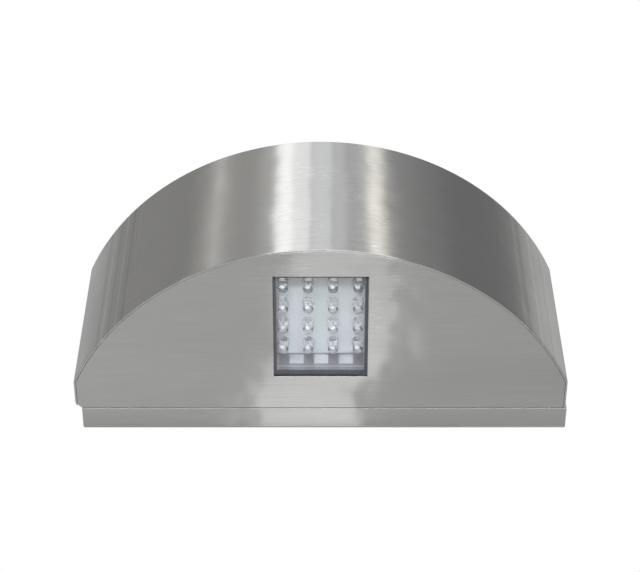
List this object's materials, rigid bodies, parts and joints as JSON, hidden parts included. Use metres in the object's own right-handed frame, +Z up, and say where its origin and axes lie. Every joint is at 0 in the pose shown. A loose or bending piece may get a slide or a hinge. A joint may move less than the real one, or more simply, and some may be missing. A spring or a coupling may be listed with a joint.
{
  "type": "solar fence light",
  "caption": "Half-round brushed steel fence light with a clear lamp window in its underside, a solar panel in its top and a wall tray with keyholes.",
  "frame": {"origin": "middle of the tray's back face, where it rests on the fence", "axes": "+Z up, +Y into the fence, +X to the right of someone who faces the fence"},
  "size_m": [0.2406, 0.1072, 0.0977],
  "materials": {
    "brushed_steel": "brushed along the band's curve",
    "inner_steel": "mill finish",
    "fasteners": "zinc plated",
    "seal_rubber": "matt foam rubber",
    "clear_cover": "clear polycarbonate",
    "lamp_box_plastic": "glossy grey",
    "lamp_board": "satin solder mask",
    "led_epoxy": "clear epoxy",
    "tinned_metal": "tin plated",
    "chip_black": "matt moulded",
    "panel_cover": "clear glass",
    "solar_cell": "dark blue silicon",
    "panel_board": "white laminate",
    "black_plastic": "fine texture",
    "battery_sleeve": "shrink sleeve",
    "switch_plastic": "satin",
    "control_board_green": "satin solder mask",
    "coil_ferrite": "ferrite",
    "capacitor_sleeve": "shrink sleeve",
    "wire_white": "pvc insulation",
    "wire_red": "pvc insulation"
  },
  "bodies": {
    "light": {"curved_band": "brushed_steel", "window_plate": "brushed_steel", "top_plate": "brushed_steel", "back_tray": "brushed_steel", "locating_frame": "inner_steel", "cover_screws": "fasteners", "cover_nuts": "fasteners", "weld_studs": "fasteners", "stud_nuts": "fasteners", "window_gasket": "seal_rubber", "window_lens": "clear_cover", "lamp_box": "lamp_box_plastic", "led_board": "lamp_board", "leds": "led_epoxy", "led_leads": "tinned_metal", "led_resistors": "chip_black", "board_screws": "fasteners", "panel_seal": "seal_rubber", "panel_glass": "panel_cover", "solar_cells": "solar_cell", "panel_backing": "panel_board", "panel_holder": "black_plastic", "service_insert": "black_plastic", "door_seal": "seal_rubber", "batteries": "battery_sleeve", "battery_contacts": "tinned_metal", "switch_can": "tinned_metal", "switch_terminals": "tinned_metal", "control_board": "control_board_green", "control_screws": "fasteners", "control_chips": "chip_black", "storage_coil": "coil_ferrite", "capacitor": "capacitor_sleeve", "lamp_wires": "wire_white", "panel_wires": "wire_red", "battery_wires": "wire_red", "switch_wires": "wire_white"},
    "door": {"battery_door": "black_plastic"},
    "slider": {"switch_slider": "switch_plastic"}
  },
  "joints": [
    {"name": "door_hinge", "type": "hinge", "parent": "light", "child": "door", "pos_m": [-0.012, -0.0015, -0.016], "axis": [-1, 0, 0], "range_deg": [0, 95]},
    {"name": "switch_slide", "type": "slide", "parent": "light", "child": "slider", "axis": [1, 0, 0], "range_m": [0, 0.004]}
  ]
}
